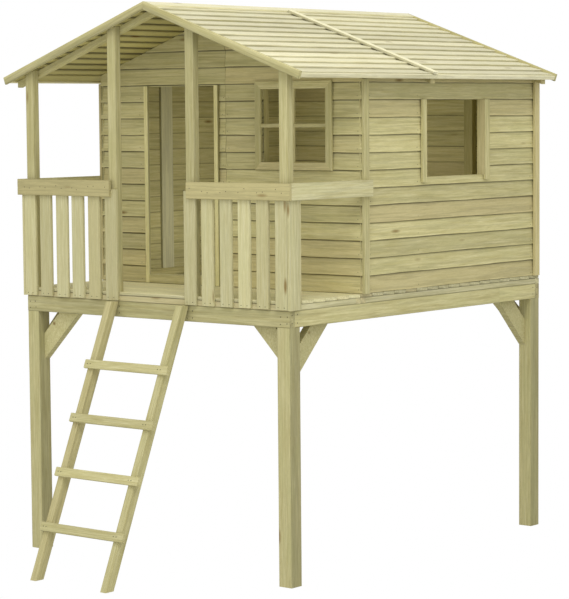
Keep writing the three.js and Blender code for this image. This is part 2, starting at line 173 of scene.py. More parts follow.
# Sawn pine, pressure treated: long streaks between light and dark wood, green clouds of treatment,
# heartwood on some boards, year rings, fine fibres, a tone for each board, and knots.
def pine(name, light, dark, green, knots=0.5, heart="cbbb88"):
    material = bpy.data.materials.new(name)
    material.use_nodes = True
    tree = material.node_tree
    tree.nodes.clear()
    link = tree.links.new

    def node(kind, **values):
        made = tree.nodes.new(kind)
        for key, value in values.items():
            if hasattr(made, key):
                setattr(made, key, value)
            else:
                made.inputs[key.replace("_", " ")].default_value = value
        return made

    def stretched(scale):
        mapping = node("ShaderNodeMapping", Scale=scale)
        link(in_log.outputs["Vector"], mapping.inputs["Vector"])
        return mapping.outputs["Vector"]

    def mixed(factor, first, second, blend="MIX"):
        mix = node("ShaderNodeMix", data_type="RGBA", blend_type=blend)
        for socket, value in ((mix.inputs[0], factor), (mix.inputs[6], first), (mix.inputs[7], second)):
            if isinstance(value, (int, float, tuple)):
                socket.default_value = value
            else:
                link(value, socket)
        return mix.outputs[2]

    def ramp(source, low, high, start=0.0, stop=1.0):
        spread = node("ShaderNodeMapRange", From_Min=low, From_Max=high, To_Min=start, To_Max=stop)
        link(source, spread.inputs["Value"])
        return spread.outputs["Result"]

    def darkened(body, share):
        made = node("ShaderNodeCombineColor")
        for channel in ("Red", "Green", "Blue"):
            link(share, made.inputs[channel])
        return mixed(1.0, body, made.outputs["Color"], "MULTIPLY")

    in_log = node("ShaderNodeAttribute", attribute_name="grain")
    tone = node("ShaderNodeAttribute", attribute_name="tone")
    kind = node("ShaderNodeAttribute", attribute_name="kind")
    streak = node("ShaderNodeTexNoise", Scale=3.0, Detail=5.0, Roughness=0.6, Distortion=0.6)
    link(stretched((1.3, 28.0, 28.0)), streak.inputs["Vector"])
    fibre = node("ShaderNodeTexNoise", Scale=9.0, Detail=6.0, Roughness=0.7, Distortion=0.3)
    link(stretched((2.2, 55.0, 55.0)), fibre.inputs["Vector"])
    rings = node("ShaderNodeTexWave", bands_direction="Y", Scale=2.6, Distortion=9.0, Detail=3.0)
    rings.inputs["Detail Scale"].default_value = 1.2
    link(stretched((0.5, 14.0, 14.0)), rings.inputs["Vector"])
    cloud = node("ShaderNodeTexNoise", Scale=2.2, Detail=3.0, Roughness=0.55)
    link(stretched((1.7, 5.0, 5.0)), cloud.inputs["Vector"])

    body = mixed(ramp(streak.outputs["Fac"], 0.34, 0.68), colour(dark), colour(light))
    body = mixed(ramp(cloud.outputs["Fac"], 0.45, 0.75, 0.0, 0.55), body, colour(green))
    body = mixed(ramp(kind.outputs["Fac"], 0.6, 1.4), body, colour(heart))
    body = darkened(body, ramp(rings.outputs["Fac"], 0.0, 0.5, 0.86, 1.0))
    body = darkened(body, ramp(fibre.outputs["Fac"], 0.3, 0.62, 0.84, 1.05))
    # The tone darkens the colour: the board's own tone, together with painted shade and painted highlights
    # at chosen corners.
    body = darkened(body, ramp(tone.outputs["Fac"], -3.0, 2.0, 0.2, 1.275))

    cells = node("ShaderNodeTexVoronoi", Scale=1.0)
    link(stretched((2.3, 9.0, 9.0)), cells.inputs["Vector"])
    chosen = node("ShaderNodeSeparateColor")
    link(cells.outputs["Color"], chosen.inputs["Color"])
    fewest = 1.0 - knots * 0.6
    knot = node("ShaderNodeMath", operation="MULTIPLY")
    link(ramp(chosen.outputs["Red"], fewest, fewest + 0.02), knot.inputs[0])
    link(ramp(cells.outputs["Distance"], 0.05, 0.13, 1.0, 0.0), knot.inputs[1])
    body = mixed(knot.outputs[0], body, colour("8a7648"))

    shader = node("ShaderNodeBsdfPrincipled", Roughness=0.8)
    shader.inputs["Specular IOR Level"].default_value = 0.25
    link(body, shader.inputs["Base Color"])
    relief = node("ShaderNodeBump", Strength=0.35, Distance=0.002)
    link(fibre.outputs["Fac"], relief.inputs["Height"])
    link(relief.outputs["Normal"], shader.inputs["Normal"])
    out = node("ShaderNodeOutputMaterial")
    link(shader.outputs["BSDF"], out.inputs["Surface"])
    return material


stilt_pine = pine("post_pine", light="d3cc9a", dark="bbb27c", green="c1bd86")
stilts = Boards("stilt_posts")
# Painted shade on both side faces of each post and on its edges.
side_and_edge_shade = {0: 0.7, 1: 1.2, 4: 1.0, 5: 1.0, 6: 1.0, 7: 1.0, 10: 1.2, 11: 0.7}
for _, side in SIDES:
    for y in (0.0, DEPTH - POST_SIZE):
        tone = chance.uniform(0.2, 0.6)
        x = span(side, HALF - POST_SIZE, HALF)
        stilts.plank(x, (y, y + POST_SIZE), (0.0, POST_TOP), "z", SAWN_EDGE, dark=side_and_edge_shade, tone=tone)
stilts.nail_up(stilt_pine, "post", *[f"post_{end}_{name}" for end in ENDS for name, _ in SIDES])

# The platform's ring: pine planks on edge, 45 mm thick, screwed down on the tops of the posts.
# Each side is made of two lengths that meet at a butt joint near the back.
PLANK = 0.045
BEAM_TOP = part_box("beam_front")[1][2]
SIDE_JOINT = 2.04
JOINT_GAP = 0.0005
ring_pine = pine("beam_pine", light="cfc896", dark="b4ab76", green="bcb881", knots=0.6)
ring = Boards("platform_beams")
# Painted shade: the ring's planks are darkened strongly along their edges, in the joints between them.
on_posts = (POST_TOP, BEAM_TOP)
ring.plank((-HALF, HALF), (0.0, PLANK), on_posts, "x", SAWN_EDGE, 1.6, tone=0.1)
ring.plank((-HALF, HALF), (DEPTH - PLANK, DEPTH), on_posts, "x", SAWN_EDGE, 1.6)
for _, side in SIDES:
    x = span(side, HALF - PLANK, HALF)
    ring.plank(x, (PLANK, SIDE_JOINT), on_posts, "y", SAWN_EDGE, 1.6, tone=0.9)
    ring.plank(x, (SIDE_JOINT + JOINT_GAP, DEPTH - PLANK), on_posts, "y", SAWN_EDGE, 1.6, tone=1.2)
ring.nail_up(ring_pine, "beam", "beam_front", "beam_rear", "beam_left", "beam_right")

# The knee braces: two at each post, cut from the same planks at 45 degrees, with a plumb foot on the post
# and a level head under the ring. They stand behind the planks of the ring.
BRACE_HEAD = 1.531
BRACE_CUT = 0.155
CUT_EDGE = 0.002


def brace_outline(node):
    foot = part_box(node)[0][2]
    reach = BRACE_HEAD - foot
    return [(0.0, foot), (0.0, foot + BRACE_CUT), (reach - BRACE_CUT, BRACE_HEAD), (reach, BRACE_HEAD)]


braces = Boards("knee_braces")
for name, side in SIDES:
    post_side = side * (HALF - POST_SIZE)
    for end, back, way in (("front", POST_SIZE, 1), ("rear", DEPTH - POST_SIZE, -1)):
        crosswise = [(post_side - side * u, z) for u, z in brace_outline(f"brace_{end}_{name}_a")]
        depths = (back - PLANK, back) if way > 0 else (back, back + PLANK)
        braces.saw(eased(crosswise, CUT_EDGE), ORIGIN, X, Z, Y, *depths)
        lengthwise = [(back + way * u, z) for u, z in brace_outline(f"brace_{end}_{name}_b")]
        widths = span(side, HALF - POST_SIZE, HALF - PLANK)
        braces.saw(eased(lengthwise, CUT_EDGE), ORIGIN, Y, Z, X, *widths)
nodes = [f"brace_{end}_{name}_{which}" for end in ENDS for name, _ in SIDES for which in "ab"]
braces.nail_up(stilt_pine, "post", *nodes)

# The floor: two frames of flat battens on the ring, one for the porch and one for the hut, with boards
# nailed across them. The boards' sawn ends show along both sides, and are not quite even.
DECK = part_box("porch_deck")[1][2]
FRAME_TOP = BEAM_TOP + 0.033
PORCH_DEPTH = 0.64
BATTENS = 5
floor_pine = pine("floor_pine", light="dcd6ac", dark="c2bb8a", green="ccc797", knots=0.6)
floor = Boards("platform_floor")
# Painted shade: the frame's battens are darkened strongly along their edges.
frame_levels = (BEAM_TOP, FRAME_TOP)
for y0, y1 in ((0.0, PORCH_DEPTH), (PORCH_DEPTH, DEPTH)):
    floor.plank((-HALF, HALF), (y0, y0 + PLANK), frame_levels, "x", SAWN_EDGE, 1.7, kind=1.0)
    floor.plank((-HALF, HALF), (y1 - PLANK, y1), frame_levels, "x", SAWN_EDGE, 1.7)
    for index in range(BATTENS):
        x = -HALF + index * (2 * HALF - PLANK) / (BATTENS - 1)
        floor.plank((x, x + PLANK), (y0 + PLANK, y1 - PLANK), frame_levels, "y", SAWN_EDGE, 1.7)
# Painted shade: each deck board is darkened along its edges, where the boards meet. The front board is also
# darkened on its front face, most at its foot.
gap_shade = {1: 2.0, 4: 2.0, 7: 1.0, 10: 1.0}
front_board_shade = {0: 1.6, 1: 3.0, 2: 3.0, 4: 2.0, 7: 1.0, 10: 0.2, 11: 1.4}
# Painted light: the porch's deck boards are toned much lighter than the hut's floor boards.
for y0, y1, count, tones in ((0.0, PORCH_DEPTH, 6, (1.5, 2.0)), (PORCH_DEPTH, DEPTH, 17, (-0.4, 0.5))):
    width = (y1 - y0) / count
    for index in range(count):
        y = y0 + index * width
        ends = (-HALF + chance.uniform(0.0, 0.002), HALF - chance.uniform(0.0, 0.002))
        tone = chance.uniform(*tones)
        dark = front_board_shade if y == 0.0 else gap_shade
        levels = (FRAME_TOP + 0.0015, DECK - chance.uniform(0.0, 0.001))
        floor.plank(ends, (y + 0.001, y + width - 0.003), levels, "x", SAWN_EDGE, dark=dark, tone=tone)
floor.nail_up(floor_pine, "deck", "porch_floor_frame", "porch_deck", "house_floor")

# The porch posts: four planed uprights, 66 x 45 mm, with well rounded edges, screwed to the front rafters.
# Two stand at the corners and two beside the entrance; their tops are cut to the slope of the roof.
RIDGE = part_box("barge_front_right")[1][2]
PITCH = math.atan(0.3616)
PORCH_POST = 0.066
CORNER_INSET = {"left": 0.010, "right": 0.0}
ENTRANCE = 0.267
trim_pine = pine("trim_pine", light="d8d09d", dark="bfb67c", green="c6c189")
uprights = Boards("porch_posts")
# Painted shade along the porch posts' edges, and a little on one side face.
post_edge_shade = {1: 0.9, 4: 0.9, 5: 0.4, 6: 0.4, 7: 0.9, 10: 0.9}
for name, side in SIDES:
    for inner in (HALF - PORCH_POST - CORNER_INSET[name], ENTRANCE):
        outline = rectangle(span(side, inner, inner + PORCH_POST), (0.0, PLANK), 0.005)
        top = RIDGE - 0.0333 / math.cos(PITCH)
        uprights.saw(
            outline, ORIGIN, X, Y, Z, DECK, top, end_cut=(-side * math.tan(PITCH), 0),
            dark=post_edge_shade, tone=chance.uniform(-0.5, 0.1), kind=0.3,
        )
nodes = [f"porch_post_{place}_{name}" for place in ("corner", "entrance") for name, _ in SIDES]
uprights.nail_up(trim_pine, "trim", *nodes)

# The fence: six pickets on each side of the entrance, nailed to the platform's front, with a board round
# each corner. Wide handrails lie over their tops, and run back along the sides to the hut.
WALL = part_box("front_wall_door")[0][1] - FRONT
PICKET_THICK = 0.018
PICKET_TOP = 2.181
RAIL_LEVELS = (2.137, 2.232)
RAIL_START = 0.298
CORNER_BOARD = 0.084
PICKET_WIDTHS = {"left": 0.093, "right": 0.086}
PICKET_STARTS = {
    "left": (-1.015, -0.885, -0.750, -0.621, -0.487, -0.351),
    "right": (0.262, 0.393, 0.530, 0.663, 0.795, 0.929),
}
fence_pine = pine("rail_pine", light="d5d0a4", dark="c4bc8a", green="c8c491", knots=0.6, heart="bab07e")
fence = Boards("picket_fence")
picket_depths, rail_depths = (-PICKET_THICK, 0.0), (-2 * PICKET_THICK, -PICKET_THICK - JOINT_GAP)
for name, side in SIDES:
    for start in PICKET_STARTS[name]:
        foot = BEAM_TOP + 0.002 + chance.uniform(0.0, 0.006)
        top = PICKET_TOP - chance.uniform(0.0, 0.002)
        fence.plank((start, start + PICKET_WIDTHS[name]), picket_depths, (foot, top), "z", SAWN_EDGE)
    x = span(side, RAIL_START, HALF + 2 * PICKET_THICK)
    fence.plank(x, rail_depths, RAIL_LEVELS, "x", SAWN_EDGE, 0.7, kind=1.4)
    x = span(side, HALF + JOINT_GAP, HALF + PICKET_THICK)
    fence.plank(x, (-PICKET_THICK, CORNER_BOARD), (BEAM_TOP + 0.004, PICKET_TOP), "z", SAWN_EDGE)
    x = span(side, HALF + PICKET_THICK + JOINT_GAP, HALF + 2 * PICKET_THICK)
    fence.plank(x, (-PICKET_THICK, WALL + 0.06), RAIL_LEVELS, "y", SAWN_EDGE, 0.7, kind=0.5, tone=0.6)
fence.nail_up(fence_pine, "rail", "railing_left", "railing_right", "side_rail_left", "side_rail_right")

# The front wall: lapped pine boards, 16 mm thick at the foot and 100 mm apart, nailed to studs in two
# panels that meet in a plumb joint beside the doorway. The gable's boards are cut along the roof.
COURSE = 0.1
BOARD_FOOT, BOARD_TAPER = 0.016, 0.009
OVERLAP = 0.01
BACK = WALL + BOARD_FOOT
PANEL_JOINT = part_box("front_wall_window")[0][0]
DOOR = (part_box("door_jamb_left")[1][0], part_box("door_jamb_right")[0][0])
DOOR_TOP = 2.780
DOORWAY = (DOOR[0] - 0.020, DOOR[1] + 0.020, DECK, DOOR_TOP)
WINDOW_BOARD = 0.045
WINDOW_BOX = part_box("front_window_frame")
PANES = (WINDOW_BOX[0][0] + WINDOW_BOARD, WINDOW_BOX[1][0] - WINDOW_BOARD, 2.328, 2.752)


# A slow, uneven wander for a sawn edge.
def wander(size):
    phases = [chance.uniform(0.0, 6.3) for _ in range(3)]
    lengths, weights = (1.3, 0.47, 0.19), (0.6, 0.35, 0.2)

    def at(t):
        waves = zip(phases, lengths, weights)
        return size * sum(weight * math.sin(6.283 * t / length + phase) for phase, length, weight in waves)

    return at


def under_roof(x):
    return RIDGE - abs(x) * math.tan(PITCH) - 0.030 / math.cos(PITCH)


# The end of a lapped board between two shares of its height: thick and rounded at its foot, thin at its top,
# which tucks under the next board. The second value says how dark each corner is. It paints a shadow under
# the board's lip and on the strip just below the next board's lip, and it paints a highlight on the lip's
# lower edge.
def lap_outline(z0, z1, low, high, lap_shadow):
    front0, front1 = BOARD_FOOT - BOARD_TAPER * low, BOARD_FOOT - BOARD_TAPER * high
    outline, dark = [(0.0, z0), (front0, z0)], {}
    if low == 0.0:
        outline = [
            (0.0, z0 + 0.009), (0.0, z0), (front0 - 0.0025, z0), (front0, z0 + 0.003),
            (front0 - 0.001, z0 + 0.012),
        ]
        dark = {1: lap_shadow, 2: lap_shadow - 0.2, 3: -0.6}
    if high < 1.0:
        return outline + [(front1, z1), (0.0, z1)], dark
    dark[len(outline) + 1] = dark[len(outline) + 2] = lap_shadow - 0.2
    outline += [(front1 + 0.0008, z1 - 0.009), (front1, z1 - 0.001), (front1 - 0.0005, z1 + OVERLAP)]
    return outline + [(0.0005, z1 + OVERLAP), (0.0, z1)], dark


# The shares of a course's height at which an opening or the roof's slope begins or ends.
def levels_in(foot, holes, slope, first, last):
    edges = [(edge, 0.002) for hole in holes for edge in hole[2:]]
    if slope:
        edges += [(edge, 0.001) for edge in (slope(first), slope(last), slope(0.0) - 0.003)]
    inside = {(edge - foot) / COURSE for edge, near in edges if foot + near < edge < foot + COURSE - near}
    return sorted({0.0, 1.0} | inside)


def without_holes(first, last, middle, holes):
    lengths = [(first, last)]
    for left, right, bottom, top in holes:
        if bottom < middle < top:
            parts = [part for a, b in lengths for part in ((a, min(b, left)), (max(a, right), b))]
            lengths = [part for part in parts if part[1] - part[0] > 0.001]
    return lengths


# A wall of lapped boards, course by course. The wall runs along its own direction, from first to last.
def lap_wall(boards, place, out, along, first, last, courses, holes, slope=None, lap_shadow=3.4):
    for index in range(courses):
        foot = DECK + index * COURSE
        log, tone, edge_wave = new_log(), chance.uniform(0.0, 1.0), wander(0.0018)
        swell = wander(0.0008)
        levels = levels_in(foot, holes, slope, first, last)
        for low, high in zip(levels, levels[1:]):
            z0, z1 = foot + low * COURSE, foot + high * COURSE
            outline, dark = lap_outline(z0, z1, low, high, lap_shadow)
            reach = (slope(0.0) - (z0 + z1) / 2) / math.tan(PITCH) if slope else 10.0

            def wave(corner, t, at_foot=low == 0.0):
                if not at_foot or corner > 4:
                    return (0.0, 0.0)
                return (swell(t) if corner > 1 else 0.0, edge_wave(t))

            for a, b in without_holes(first, last, (z0 + z1) / 2, holes):
                if reach <= 0.0 or a >= reach or b <= -reach:
                    continue
                steps = max(1, int((b - a) / 0.06)) if low == 0.0 else 1
                start_cut = end_cut = (0.0, 0.0)
                if a < -reach:
                    a, start_cut = -slope(0.0) / math.tan(PITCH), (0.0, 1 / math.tan(PITCH))
                if b > reach:
                    b, end_cut = slope(0.0) / math.tan(PITCH), (0.0, -1 / math.tan(PITCH))
                boards.saw(
                    outline, place, out, Z, along, a, b, start_cut=start_cut, end_cut=end_cut,
                    steps=steps, wave=wave, log=log, tone=tone, dark=dark,
                )


wall_pine = pine("wall_pine", light="d8d09c", dark="c2b980", green="c4bf88", knots=0.7)
front = Boards("front_wall_boards")
for first, last in ((-HALF, PANEL_JOINT - 0.001), (PANEL_JOINT + 0.001, HALF)):
    lap_wall(front, (0, BACK, 0), (0, -1, 0), X, first, last, 17, (DOORWAY, PANES), under_roof)
front.nail_up(wall_pine, "wall", "front_wall_door", "front_wall_window")

# The side walls and the rear wall: the same lapped boards on the same studs. The right wall has a plain
# window opening, and both side walls stop short of the roof at the eaves.
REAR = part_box("rear_wall")[1][1] - FRONT
INNER = HALF - BOARD_FOOT
SIDE_WINDOW = (1.266, 1.866, 2.232, 2.685)
EAVE_GAP = (-10.0, 10.0, 2.810, 3.0)
flanks = Boards("side_wall_boards")
run = (BACK - 0.014, REAR - 0.002, 13)
# The side walls' lap shadows are painted a little lighter than the front wall's.
lap_wall(flanks, (INNER, 0, 0), X, Y, *run, (SIDE_WINDOW, EAVE_GAP), lap_shadow=2.5)
lap_wall(flanks, (-INNER, 0, 0), (-1, 0, 0), Y, *run, (EAVE_GAP,), lap_shadow=2.5)
flanks.nail_up(wall_pine, "wall", "left_wall", "right_wall")
rear = Boards("rear_wall_boards")
lap_wall(rear, (0, REAR - BOARD_FOOT, 0), Y, X, -HALF, HALF, 17, (), under_roof)
rear.nail_up(wall_pine, "wall", "rear_wall")

# The wall frames: studs and plates of planed pine that the boards are nailed to from outside. They stay
# out of the weather, and are seen through the doorway and the windows.
STUD_TOP = DECK + 12 * COURSE
FLANK_STUD = 0.03
LEFT_STUD = 1.8
BACK_STUD = (0.491, 0.555)
sole, top_plate = (DECK, DECK + PLANK), (STUD_TOP + 0.005, STUD_TOP + 0.025)
front_frame, rear_frame = (BACK, BACK + PLANK), (REAR - BOARD_FOOT - PLANK, REAR - BOARD_FOOT)
stud_pine = pine("inside_pine", light="cdc48e", dark="b0a66c", green="b8b279", heart="d6d2ac")
studs = Boards("wall_frames")
for y in (front_frame, rear_frame):
    for x in (-INNER, -0.022, INNER - PLANK):
        studs.plank((x, x + PLANK), y, (DECK, STUD_TOP), "z", CUT_EDGE)
    studs.plank((-INNER, INNER), y, top_plate, "x", CUT_EDGE)
studs.plank(BACK_STUD, rear_frame, (DECK, STUD_TOP), "z", CUT_EDGE)
studs.plank((-INNER, DOORWAY[0]), front_frame, sole, "x", CUT_EDGE)
studs.plank((DOORWAY[1], INNER), front_frame, sole, "x", CUT_EDGE)
studs.plank((-INNER, INNER), rear_frame, sole, "x", CUT_EDGE)
for x in (DOOR[0] - 0.120, PANES[0] - PLANK, PANES[1]):
    studs.plank((x, x + PLANK), front_frame, (DECK, STUD_TOP), "z", CUT_EDGE)
for z in (PANES[2] - PLANK, PANES[3]):
    studs.plank(PANES[:2], front_frame, (z, z + PLANK), "x", CUT_EDGE)
for name, side in SIDES:
    x = span(side, INNER - FLANK_STUD, INNER)
    for z in (sole, top_plate):
        studs.plank(x, (BACK + PLANK, REAR - BOARD_FOOT - PLANK), z, "y", CUT_EDGE)
    for y in (LEFT_STUD,) if name == "left" else (SIDE_WINDOW[0] - PLANK, SIDE_WINDOW[1]):
        studs.plank(x, (y, y + PLANK), (DECK + PLANK, STUD_TOP - PLANK), "z", CUT_EDGE)
for z in (SIDE_WINDOW[2] - PLANK, SIDE_WINDOW[3]):
    studs.plank((INNER - FLANK_STUD, INNER), SIDE_WINDOW[:2], (z, z + PLANK), "y", CUT_EDGE)
studs.nail_up(stud_pine, "wall")

# The joint board: one pale upright board, seen through the doorway, that lies flat on the inside of the
# left wall. It is taken to be nailed over the joint of that wall's two panels.
JOINT_BOARD = (1.173, 1.280)
cover = Boards("inner_joint_board")
shaded = {1: 1.0, 2: 1.3, 3: 1.3, 4: 1.0, 7: 0.8, 10: 0.8}
x = (-INNER, -INNER + BOARD_FOOT)
cover.plank(x, JOINT_BOARD, (DECK + PLANK, STUD_TOP + 0.005), "z", CUT_EDGE, dark=shaded, kind=1.4)
cover.nail_up(stud_pine, "wall")

# The trims: boards that cover the sawn ends of the lapped boards at the four corners, beside the doorway
# and beside the side window. They are nailed on from outside.
TRIM_THICK, TRIM_TOP = 0.018, 2.800
LINING = 0.031
SILL_DROP = 0.03
casing = Boards("corner_and_door_trims")
for _, side in SIDES:
    x = span(side, HALF, HALF + TRIM_THICK)
    for y in ((WALL, WALL + 0.05), (REAR - 0.065, REAR - 0.013)):
        casing.plank(x, y, (DECK, TRIM_TOP), "z")
# Painted shade: the linings are darkened deeply on their right-hand face, which on the left lining is the
# reveal of the doorway. They are also darkened a little along their edges.
reveal_shade = {1: 0.7, 4: 2.0, 5: 3.2, 6: 3.2, 7: 3.0, 10: 0.8}
for x in ((DOOR[0] - LINING, DOOR[0]), (DOOR[1], DOOR[1] + LINING)):
    y = (WALL - BOARD_FOOT, WALL)
    casing.plank(x, y, (DECK, DOOR_TOP), "z", dark=reveal_shade, tone=2.0, kind=0.2)
for y in ((SIDE_WINDOW[0] - 0.044, SIDE_WINDOW[0]), (SIDE_WINDOW[1] - 0.002, SIDE_WINDOW[1] + 0.048)):
    casing.plank((HALF, HALF + 0.016), y, (SIDE_WINDOW[2] - SILL_DROP, SIDE_WINDOW[3]), "z")
for y in (SIDE_WINDOW[0] - 0.002, SIDE_WINDOW[1] - 0.003):
    casing.plank((INNER - 0.02, HALF + 0.012), (y, y + 0.005), SIDE_WINDOW[2:], "z", 0.001, tone=0.1)
nodes = [f"corner_{end}_{name}" for end in ENDS for name, _ in SIDES]
nodes += ["door_jamb_left", "door_jamb_right", "side_window_trim_front", "side_window_trim_rear"]
casing.nail_up(trim_pine, "trim", *nodes)

# The threshold: one board across the foot of the doorway, nailed down on the floor.
# It is as deep as the wall and its studs, and stands 52 mm high.
THRESHOLD_TOP = 1.637
threshold = Boards("threshold")
threshold.plank(DOOR, (WALL - BOARD_FOOT, BACK + PLANK), (DECK, THRESHOLD_TOP), "x", SAWN_EDGE)
threshold.nail_up(trim_pine, "deck", "door_threshold")

# The front window: four boards with mitred corners, nailed over the edge of the opening, and a cross of
# thin glazing bars behind their face. It does not open.
x0, x1, z0, z1 = WINDOW_BOX[0][0], WINDOW_BOX[1][0], 2.283, 2.797
BAR = 0.011
window = Boards("front_window")
face = WALL - BOARD_FOOT
for along_x, places, ends in ((False, (x0, x1), (z0, z1)), (True, (z0, z1), (x0, x1))):
    for place, inward in zip(places, (1, -1)):
        outline = rectangle((0.0, inward * WINDOW_BOARD), (face, WALL), 0.003)
        origin = (0, 0, place) if along_x else (place, 0, 0)
        across, along = (Z, X) if along_x else (X, Z)
        mitres = {"start_cut": (inward, 0.0), "end_cut": (-inward, 0.0)}
        window.saw(outline, origin, across, Y, along, *ends, **mitres)
middle_x, middle_z = (x0 + x1) / 2, (z0 + z1) / 2
window.plank((middle_x - BAR, middle_x + BAR), (face + 0.004, WALL), (z0 + 0.02, z1 - 0.02), "z", CUT_EDGE)
window.plank((x0 + 0.02, x1 - 0.02), (face + 0.003, WALL), (middle_z - BAR, middle_z + BAR), "x", CUT_EDGE)
window.nail_up(trim_pine, "trim", "front_window_frame")

# The roof boards: thirteen lapped boards down each slope, nailed across the rafters in a front panel and a
# rear panel. Their lower edges wander a little, and the lowest one is thick and straight.
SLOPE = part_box("barge_front_right")[1][0] / math.cos(PITCH)
BOARDS_DOWN = 13
BOARDS_END = SLOPE - 0.018
ROOF_FRONT, ROOF_JOINT = -0.0317, 1.226
ROOF_ORIGIN = (0, 0, RIDGE)


def down(side):
    across = (side * math.cos(PITCH), 0, -math.sin(PITCH))
    up = (side * math.sin(PITCH), 0, math.cos(PITCH))
    return across, up


roof_pine = pine("roof_pine", light="f8f3d2", dark="e8e1b6", green="ebe6bc", heart="dcd187")
covering = Boards("roof_boards")
for _, side in SIDES:
    across, up = down(side)
    for y0, y1 in ((ROOF_FRONT, ROOF_JOINT), (ROOF_JOINT + 0.0003, REAR)):
        for index in range(BOARDS_DOWN):
            u0, u1 = (edge * BOARDS_END / BOARDS_DOWN for edge in (index, index + 1))
            edge_wave, swell = wander(0.0022), wander(0.0008)
            tucked = max(u0 - 0.012, 0.008)
            top_edge = [(tucked, -0.033), (tucked, -0.0195), (u0 + 0.003, -0.0185), (u0 + 0.014, -0.0178)]
            outline = top_edge + [
                (u1 - 0.003, -0.0075), (u1, -0.0095), (u1, -0.024),
                (u1 - 0.012, -0.0245), (u1 - 0.026, -0.0259), (u0 + 0.012, -0.032),
            ]
            # Painted shade: each board is darkened on the strip just below the board above it, and on the
            # lower edge and underside of its lip.
            dark = {0: 2.4, 1: 2.4, 2: 1.1, 5: 0.4, 6: 2.2, 7: 2.6, 8: 0.7, 9: 0.8}
            underside = (0, 6, 7, 8, 9)

            def wave(corner, t):
                return (edge_wave(t), swell(t)) if corner in (4, 5, 6) else (0.0, 0.0)

            if index == BOARDS_DOWN - 1:
                # Painted shade on the lowest board's upper strip and along its lower edge.
                outline = top_edge + [(u1, -0.0075), (u1, -0.028), (u0 + 0.012, -0.032)]
                dark = {0: 1.8, 1: 2.0, 2: 1.1, 5: 1.8, 6: 1.2}
                underside = (0, 5, 6)
                wave = None
            covering.saw(
                outline, ROOF_ORIGIN, across, up, Y, y0, y1, steps=max(2, int((y1 - y0) / 0.08)), wave=wave,
                dark=dark, kind=chance.uniform(0.0, 0.6), kinds={corner: 1.4 for corner in underside},
            )
nodes = [f"roof_{end}_{name}" for end in ENDS for name, _ in SIDES]
covering.nail_up(roof_pine, "roof", *nodes)

# The rafters: six pairs of planed timbers, 45 mm thick, that rest on the walls and lean together at the
# ridge, with plumb ends. Some run out under the eaves, and the others end at the wall.
RAFTER = 0.0447
WALL_END, TAIL_END = HALF, HALF + 0.101
plumb = (0.0, -math.tan(PITCH))
rafters = Boards("rafters_and_eaves")
# Painted shade: the rafters are darkened along their edges, on their top face under the roof boards and on
# their front face.
rafter_shade = {0: 0.8, 1: 1.2, 4: 1.2, 7: 1.2, 8: 1.2, 9: 1.2, 10: 1.2, 11: 0.8}
for _, side in SIDES:
    across, up = down(side)
    for y, end in (
        (0.0453, TAIL_END if side < 0 else WALL_END), (BACK + 0.0003, WALL_END),
        (ROOF_JOINT - PLANK, TAIL_END), (ROOF_JOINT + 0.0003, WALL_END), (1.8, WALL_END),
        (REAR - 0.126, TAIL_END),
    ):
        outline = rectangle((y, y + RAFTER), (-0.066, -0.030), 0.003)
        length = end / math.cos(PITCH)
        rafters.saw(
            outline, ROOF_ORIGIN, Y, up, across, 0.0, length, start_cut=plumb, end_cut=plumb,
            dark=rafter_shade,
        )
rafters.nail_up(trim_pine, "trim")

# The eave boards, one for each roof panel, are nailed under the lowest roof boards. A batten on each slope
# covers the joint between the front panels and the rear ones.
eaves = Boards("eave_boards")
# Painted shadow on the front side of each joint batten and along its lower front edge.
batten_shadow = {0: 2.5, 1: 2.5, 2: 2.5, 11: 2.0, 10: 0.5}
for _, side in SIDES:
    across, up = down(side)
    for y0, y1 in ((ROOF_FRONT, ROOF_JOINT), (ROOF_JOINT + 0.0015, REAR)):
        outline = rectangle((BOARDS_END, SLOPE), (-0.037, -0.013), 0.003)
        eaves.saw(outline, ROOF_ORIGIN, across, up, Y, y0, y1)
    outline = rectangle((ROOF_JOINT - PLANK, ROOF_JOINT), (-0.010, 0.006), 0.003)
    eaves.saw(
        outline, ROOF_ORIGIN, Y, up, across, 0.060, SLOPE - JOINT_GAP, dark=batten_shadow, tone=1.2
    )
eaves.nail_up(roof_pine, "roof")

# The ridge and the gable ends: two thin boards cover the ridge, and barge boards with a plumb joint at the
# peak cover the ends of the roof boards, front and rear.
BARGE = 0.018
RIDGE_BOARD = 0.058
ridge = Boards("ridge_boards")
verge = Boards("barge_boards")
# Painted shade along the barge boards' lower edges, and a painted highlight along the top of their front
# face.
barge_shade_and_highlight = {0: 1.2, 1: 2.4, 4: 2.0, 7: 0.6, 10: -0.8}
for _, side in SIDES:
    across, up = down(side)
    outline = rectangle((0.0, RIDGE_BOARD), (-0.0115, 0.0), CUT_EDGE)
    ridge.saw(outline, ROOF_ORIGIN, across, up, Y, ROOF_FRONT, REAR)
    for y in (-0.050, REAR + 0.0003):
        outline = rectangle((y, y + BARGE), (-0.045, 0.0), 0.003)
        verge.saw(
            outline, ROOF_ORIGIN, Y, up, across, 0.0005, SLOPE, start_cut=plumb, dark=barge_shade_and_highlight,
            tone=chance.uniform(0.2, 0.4),
        )
ridge.nail_up(roof_pine, "roof", "ridge_cap")
nodes = [f"barge_{end}_{name}" for end in ENDS for name, _ in SIDES]
verge.nail_up(trim_pine, "trim", *nodes)

